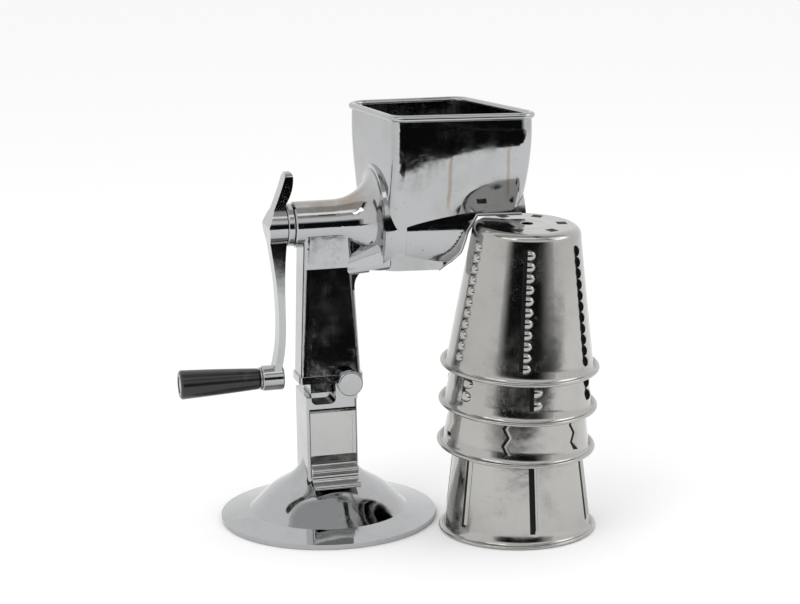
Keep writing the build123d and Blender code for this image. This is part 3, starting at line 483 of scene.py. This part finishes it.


# painted shade: a near-black sheet laid where the dark inside of the cones shows through slots, dome mouths
# and drive holes
holeShadeLook = {**gripLook, "colour": (0.004, 0.004, 0.004, 1.0), "dust": 0.12, "grain": 600.0, "rough": 0.5,
              "shine": 0.2}
holeShade = dark("drumInside", holeShadeLook)
column = 37.0                                     # half the length of a column of cuts
straight = np.array(((0.0, -column), (0.0, column)))
bends = np.arange(15)
zigzag = np.stack((1.5 * (-1.0) ** bends, (bends - 7) * 5.4 - 1), axis=-1)
smallDomes = {"count": 11, "pitch": 6.9, "lift": -1.0, "mouth": -1.2, "long": 5.0, "half": 3.3, "tall": 2.3}
bigDomes = {"count": 9, "pitch": 8.2, "lift": -1.0, "mouth": -2.2, "long": 6.0, "half": 3.6, "tall": 2.3}
leaning = {"foot": stack["foot"], "lean": stack["lean"], "slope": 0.15}
# each cone's slots and dome mouths are strips and half discs of painted shade, not openings
drums = {
    "scallopDrum": {**leaning, "rise": 106.8, "spin": -105.0, "body": "scallop", "node": "cone_scallop",
                    "pattern": (("SlotShade", [strip(straight, -3.6, -0.9, 0.06)], holeShade),
                                ("Domes", [domes(smallDomes)], drum),
                                ("MouthShade", [mouths(smallDomes)], holeShade))},
    "coarseDrum": {**leaning, "rise": 81.8, "spin": -94.0, "body": "coarse", "node": "cone_coarse",
                   "pattern": (("SlotShade", [strip(straight, -4.6, -2.0, 0.06)], holeShade),
                               ("Domes", [domes(bigDomes)], drum), ("MouthShade", [mouths(bigDomes)], holeShade))},
    "wavyDrum": {**leaning, "rise": 55.0, "spin": -117.0, "body": "wavy", "node": "cone_wavy",
                 "pattern": (("SlotShade", [strip(zigzag, -1.3, 0.5, 0.06)], holeShade),
                             ("Lips", [ridge(zigzag, 0.4, 2.6, 2.2)], drum))},
    "slicerDrum": {"foot": (110.6, -55.8, 0.0), "lean": (0.0, 0.0), "slope": 0.12, "rise": 0.0, "spin": -96.0,
                   "body": "slicer", "node": "cone_slicer",
                   "pattern": (("SlotShade", [strip(straight, -1.6, 1.7, 0.06)], holeShade),
                               ("Blades", [ridge(straight * 0.94, 1.3, 3.4, 1.9)], drum))},
}
for name, look in drums.items():
    drumPiece(name, look)


shroud = {"axis": 193.0, "tip": 45.0, "low": 166.0, "high": 215.0, "proudAtTip": 0.2, "proudAtMouth": 3.2,
          "sill": 162.0, "belt": 193.0, "rim": 262.0,
          "sillFront": ((34.0, -28.0), (113.0, -42.0)), "beltFront": ((33.4, -36.9), (118.5, -45.6)),
          "rimFront": ((37.0, -43.0), (125.0, -58.5))}
mouth = np.array(((66.5, 165.0), (74.0, 171.0), (79.0, 177.0), (82.3, 190.0), (88.5, 200.4)))


def wallFront(x, z):
    # y of the hopper's front: straight in x on each level, straight in z between sill, belt and rim
    levels = []
    for key in ("sillFront", "beltFront", "rimFront"):
        (x0, y0), (x1, y1) = shroud[key]
        levels.append(y0 + (y1 - y0) * (x - x0) / (x1 - x0))
    low = (z - shroud["sill"]) / (shroud["belt"] - shroud["sill"])
    high = (z - shroud["belt"]) / (shroud["rim"] - shroud["belt"])
    return np.where(z < shroud["belt"], levels[0] + (levels[1] - levels[0]) * low,
                    levels[1] + (levels[2] - levels[1]) * high)


def shroudFront(x, z):
    # y of the cone round the shaft, a little prouder towards the mouth, kept just behind the wall elsewhere
    share = (x - shroud["tip"]) / (mouth[-1][0] - shroud["tip"])
    proud = shroud["proudAtTip"] + (shroud["proudAtMouth"] - shroud["proudAtTip"]) * share
    radius = proud - wallFront(x, np.full_like(x, shroud["axis"]))
    bulgeFront = -np.sqrt(np.maximum(radius ** 2 - (z - shroud["axis"]) ** 2, 1.0))
    return np.minimum(bulgeFront, wallFront(x, z) + 0.6)


def addShroud():
    # grid over the bulge: its right side follows the mouth, a bead runs round the mouth's edge
    z, share = np.meshgrid(np.linspace(shroud["low"], shroud["high"], 60), np.linspace(0, 1, 70))
    right = np.interp(z, mouth[:, 1], mouth[:, 0])
    right = np.where(z > mouth[-1][1], mouth[-1][0] + (z - mouth[-1][1]) * 1.9, right)
    x = shroud["tip"] + (right - shroud["tip"]) * share
    bulge = np.stack((x, shroudFront(x, z), z), axis=-1) * mm
    addSurface("shroudBulge", [bulge], housingChrome, "head")
    along = np.linspace(0, 1, 60)
    cut = np.concatenate((mouth, ((116.0, 200.4),)))
    steps = np.concatenate(((0,), np.cumsum(np.linalg.norm(np.diff(cut, axis=0), axis=1))))
    x, z = (np.interp(along, steps / steps[-1], cut[:, axis]) for axis in (0, 1))
    middle = np.stack((x, shroudFront(x, z) + 0.5, z), axis=-1)
    forward = np.gradient(middle, axis=0)
    forward /= np.linalg.norm(forward, axis=1)[:, None]
    side = np.cross(forward, (0, 1, 0))
    side /= np.linalg.norm(side, axis=1)[:, None]
    other = np.cross(forward, side)
    angles = np.linspace(0, 2 * pi, 16, endpoint=False)[None, :, None]
    tube = middle[:, None] + 1.0 * (np.cos(angles) * side[:, None] + np.sin(angles) * other[:, None])
    addSurface("mouthBead", [tube * mm], housingChrome, "head", wrap=(False, True))


addShroud()
print("shroud made")


def addCard(name, corners, glow, soft):
    # flat card that only mirrors see: glow[0] in its middle, turning to glow[1]
    # over the soft share of each side
    mesh = bpy.data.meshes.new(name)
    mesh.from_pydata([tuple(corner) for corner in corners], [], [(0, 1, 2, 3)])
    layer = mesh.uv_layers.new(name="sides")
    layer.data.foreach_set("uv", (0, 0, 1, 0, 1, 1, 0, 1))
    card = bpy.data.objects.new(name, mesh)
    bpy.context.scene.collection.objects.link(card)
    material = bpy.data.materials.new(name)
    material.use_nodes = True
    tree = material.node_tree
    tree.nodes.clear()
    sides = addNode(tree, "ShaderNodeSeparateXYZ", Vector=addNode(tree, "ShaderNodeUVMap").outputs[0])
    inside = None
    for axis, share in (("X", soft[0]), ("Y", soft[1])):
        off = calc(tree, "ABSOLUTE", calc(tree, "SUBTRACT", sides.outputs[axis], 0.5))
        part = calc(tree, "SUBTRACT", 1.0, band(tree, off, 0.5 - share, 0.5))
        inside = part if inside is None else calc(tree, "MULTIPLY", inside, part)
    level = calc(tree, "ADD", glow[1], calc(tree, "MULTIPLY", inside, glow[0] - glow[1]))
    light = addNode(tree, "ShaderNodeEmission", Color=(1.0, 1.0, 1.0, 1.0), Strength=level)
    end = tree.nodes.new("ShaderNodeOutputMaterial")
    tree.links.new(light.outputs[0], end.inputs["Surface"])
    mesh.materials.append(material)
    card.visible_camera = card.visible_diffuse = card.visible_shadow = False
    card.visible_transmission = card.visible_volume_scatter = False


def addLamp(name, place, aim, size, power):
    # square soft lamp at a place, turned to shine at the aim
    data = bpy.data.lights.new(name, "AREA")
    data.shape, data.size, data.energy = "SQUARE", size, power
    lamp = bpy.data.objects.new(name, data)
    turn = (Vector(aim) - Vector(place)).to_track_quat("-Z", "Y").to_matrix().to_4x4()
    lamp.matrix_world = Matrix.Translation(place) @ turn
    bpy.context.scene.collection.objects.link(lamp)


def makeFloor(look):
    # one large level square of pale matt paper
    mesh = bpy.data.meshes.new("floor")
    reach = look["reach"]
    corners = [(-reach, -reach, 0), (reach, -reach, 0), (reach, reach, 0), (-reach, reach, 0)]
    mesh.from_pydata(corners, [], [(0, 1, 2, 3)])
    floor = bpy.data.objects.new("floor", mesh)
    bpy.context.scene.collection.objects.link(floor)
    material = bpy.data.materials.new("floor")
    material.use_nodes = True
    shader = material.node_tree.nodes["Principled BSDF"]
    shader.inputs["Base Color"].default_value = look["colour"]
    shader.inputs["Roughness"].default_value = 0.9
    shader.inputs["Specular IOR Level"].default_value = 0.0
    mesh.materials.append(material)


def makeWorld(roomLight):
    # plain white room: strength 1 for the camera and mirrors, roomLight for matt surfaces
    world = bpy.data.worlds.new("room")
    world.use_nodes = True
    bpy.context.scene.world = world
    tree = world.node_tree
    tree.nodes.clear()
    path = tree.nodes.new("ShaderNodeLightPath")
    seen = calc(tree, "ADD", calc(tree, "ADD", path.outputs["Is Camera Ray"], path.outputs["Is Glossy Ray"]),
                path.outputs["Is Transmission Ray"], clamp=True)
    strength = calc(tree, "ADD", roomLight, calc(tree, "MULTIPLY", seen, 1.0 - roomLight))
    sky = addNode(tree, "ShaderNodeBackground", Color=(1.0, 1.0, 1.0, 1.0), Strength=strength)
    end = tree.nodes.new("ShaderNodeOutputWorld")
    tree.links.new(sky.outputs[0], end.inputs["Surface"])


studio = {
    "roomLight": 0.98,
    "floor": {"reach": 6.0, "colour": (0.96, 0.96, 0.96, 1.0)},
    "aim": (0.03, 0, 0.12),
    "lamps": {"keyLamp": ((-0.9, -0.7, 1.5), 0.9, 6.0),           # place, size, watts
              "fillLamp": ((1.2, -0.5, 1.1), 0.8, 3.0)},
}
beam = {"front": -1.3, "back": 0.2, "high": 1.43, "glow": (0.02, 0.3), "soft": (0.15, 0.1),
        "sides": {"leftBeam": (-1.5, -1.15), "middleBeam": (0.35, 0.5), "rightBeam": (0.95, 1.5)}}

makeWorld(studio["roomLight"])
makeFloor(studio["floor"])
for name, (place, size, power) in studio["lamps"].items():
    addLamp(name, place, studio["aim"], size, power)
addCard("darkRoom", [(-2.3, -1.7, -0.3), (1.4, -1.7, -0.3), (1.4, -1.7, 0.75), (-2.3, -1.7, 0.75)],
        (0.006, 0.62), (0.28, 0.25))
addCard("tableEdge", [(-2.3, -1.7, 0.004), (1.4, -1.7, 0.004), (1.4, -0.74, 0.004), (-2.3, -0.74, 0.004)],
        (0.006, 0.5), (0.2, 0.02))
addCard("darkCeiling", [(-1.7, -1.7, 1.45), (-1.7, 0.25, 1.45), (1.7, 0.25, 1.45), (1.7, -1.7, 1.45)],
        (0.52, 0.70), (0.1, 0.1))
for name, (left, right) in beam["sides"].items():
    front, back, high = beam["front"], beam["back"], beam["high"]
    addCard(name, [(left, front, high), (left, back, high), (right, back, high), (right, front, high)],
            beam["glow"], beam["soft"])
addCard("stripLight", [(-1.1, -0.95, 1.40), (-1.1, -0.55, 1.40), (0.9, -0.55, 1.40), (0.9, -0.95, 1.40)],
        (1.6, 0.4), (0.15, 0.3))
print("studio set")

bpy.context.scene.view_settings.view_transform = "Standard"
